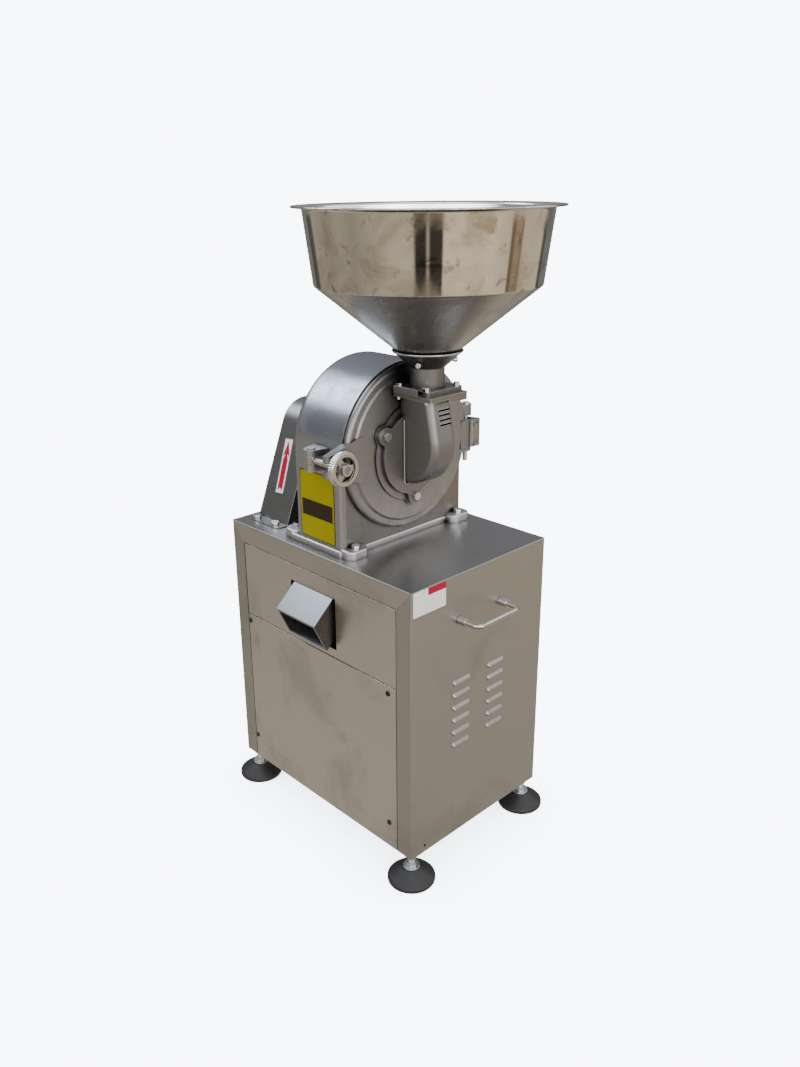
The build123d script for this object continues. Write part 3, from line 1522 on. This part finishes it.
# Neck: a flange with the gate's channel, a pipe and a conical collar
gate_channel = gate_thick + 2 * slack
collar_rel = collar_foot - cab_top
with BuildPart() as feed_neck:
    with BuildSketch(Plane.XY.offset(neck_foot)):
        with Locations((sum(neck_flange_x) / 2, 0)):
            RectangleRounded(neck_flange_x[1] - neck_flange_x[0], 2 * neck_flange_half, neck_bolt_r)
        with Locations(*neck_bolts_xy):
            Circle(neck_bolt_r + bolt_slack, mode=Mode.SUBTRACT)
        with Locations((neck_x, 0)):
            Circle(neck_bore_r, mode=Mode.SUBTRACT)
    extrude(amount=neck_flange_h)
    with BuildSketch(Plane.XY.offset(neck_foot)):
        with Locations((neck_x, (gate_back + slack - neck_flange_half) / 2)):
            Rectangle(2 * (gate_half + slack), gate_back + slack + neck_flange_half)
    extrude(amount=gate_channel, mode=Mode.SUBTRACT)
    with BuildSketch(hopper_profile):
        Polygon(
            (neck_bore_r, neck_foot - cab_top + gate_channel),
            (neck_r, neck_foot - cab_top + gate_channel),
            (neck_r, collar_rel),
            (collar_r, collar_rel + collar_h),
            (collar_r - collar_wall, collar_rel + collar_h),
            (neck_bore_r, collar_rel + collar_wall / 2),
        )
    revolve(axis=hopper_axis)
    for turn in range(collar_screws):
        angle = collar_screw_angle + turn * 360 / collar_screws
        with BuildSketch(Plane((neck_x, 0, collar_foot + collar_screw_z),
                               z_dir=(cos(radians(angle)), sin(radians(angle)), 0))):
            Circle(collar_screw_r + fit)
        extrude(amount=collar_r, mode=Mode.SUBTRACT)
write(feed_neck, "feed_neck")
write(
    hex_bolts(
        [(x, y, neck_foot + neck_flange_h) for x, y in neck_bolts_xy],
        (0, 0, 1), neck_bolt_hex, neck_bolt_head, neck_bolt_r, neck_flange_h + top_flange + 2 * neck_bolt_r,
    ),
    "neck_bolts",
)

# Hopper: spout, cone, band and a rolled rim
bead = (rim_r - rim_bead_r, rim_top - rim_bead_r)
with BuildPart() as hopper:
    with BuildSketch(hopper_profile):
        with BuildLine():
            Polyline(
                (spout_r, spout_top - spout_length),
                (spout_r, spout_top),
                (cone_r, cone_top),
                (band_r, band_top),
                bead,
            )
            offset(amount=hopper_sheet, side=Side.LEFT)
        make_face()
        with Locations(bead):
            Circle(rim_bead_r)
    revolve(axis=hopper_axis)
write(hopper, "hopper")

# Screws in the collar that hold the hopper
cone_slope = tan(radians(cone_angle))
collar_slope = (collar_r - neck_r) / collar_h
screw_foot = spout_r + (collar_rel + collar_screw_z + collar_screw_r - spout_top) * cone_slope + fit
screw_seat = neck_r + (collar_screw_z + collar_screw_head_r) * collar_slope + fit
with BuildPart() as collar_screw_set:
    for turn in range(collar_screws):
        angle = collar_screw_angle + turn * 360 / collar_screws
        screw_plane = Plane((neck_x, 0, collar_foot + collar_screw_z),
                            z_dir=(cos(radians(angle)), sin(radians(angle)), 0))
        with BuildSketch(screw_plane.offset(screw_foot)):
            Circle(collar_screw_r)
        extrude(amount=screw_seat - screw_foot)
        with BuildSketch(screw_plane.offset(screw_seat)):
            Circle(collar_screw_head_r)
        extrude(amount=collar_screw_head)
write(collar_screw_set, "collar_screws")

# Slide gate: a plate with a folded tab, under the neck
with BuildPart() as feed_gate:
    with BuildSketch(Plane.XY.offset(neck_foot + slack)):
        with Locations((neck_x, (gate_front + gate_back) / 2)):
            Rectangle(2 * gate_half, gate_back - gate_front)
    extrude(amount=gate_thick)
    with BuildSketch(Plane.XY.offset(neck_foot + slack)):
        with Locations((neck_x, gate_front + gate_thick / 2)):
            Rectangle(2 * gate_half, gate_thick)
    extrude(amount=gate_tab)
write(feed_gate, "feed_gate")

# Clamp: a swing bolt with an eye, and its handwheel
with BuildPart() as swing_bolt:
    with BuildSketch(Plane.XY.offset(cab_top + clamp_z - fork_gap / 2 + slack)):
        with Locations((clamp_x, clamp_y)):
            Circle(eye_r)
    extrude(amount=fork_gap - 2 * slack)
    bolt_plane = Plane((clamp_x, clamp_y, cab_top + clamp_z), x_dir=(0, 1, 0), z_dir=(1, 0, 0))
    with BuildSketch(bolt_plane):
        Circle(swing_bolt_r)
    extrude(amount=swing_bolt_end - clamp_x)
    with BuildSketch(Plane.XY.offset(cab_top + clamp_z - fork_gap / 2)):
        with Locations((clamp_x, clamp_y)):
            Circle(clamp_pin_r + fit)
    extrude(amount=fork_gap, mode=Mode.SUBTRACT)
write(swing_bolt, "swing_bolt")

wheel_plane = bolt_plane.offset(wheel_back - clamp_x)
rim_start = (wheel_hub - wheel_width) * 2 / 3
with BuildPart() as handwheel:
    with BuildSketch(wheel_plane.offset(rim_start)):
        Circle(wheel_r)
        Circle(wheel_r - wheel_rim, mode=Mode.SUBTRACT)
    extrude(amount=wheel_width)
    wheel_edges = handwheel.edges().filter_by(GeomType.CIRCLE)
    fillet(wheel_edges.group_by(SortBy.RADIUS)[-1], wheel_rim / 3)
    with BuildSketch(wheel_plane.offset(rim_start + (wheel_width - wheel_web) / 2)):
        Circle(wheel_r - wheel_rim + 1)
        with BuildSketch(mode=Mode.SUBTRACT):
            Circle(wheel_r - wheel_rim - 1)
            Circle(wheel_hub_r + 1, mode=Mode.SUBTRACT)
            with PolarLocations((wheel_r - wheel_rim) / 2, 3):
                Rectangle(wheel_r, wheel_hub_r, mode=Mode.SUBTRACT)
    extrude(amount=wheel_web)
    with BuildSketch(wheel_plane):
        Circle(wheel_hub_r)
    extrude(amount=wheel_hub)
    with BuildSketch(wheel_plane):
        Circle(swing_bolt_r + fit)
    extrude(amount=wheel_hub, mode=Mode.SUBTRACT)
write(handwheel, "handwheel")
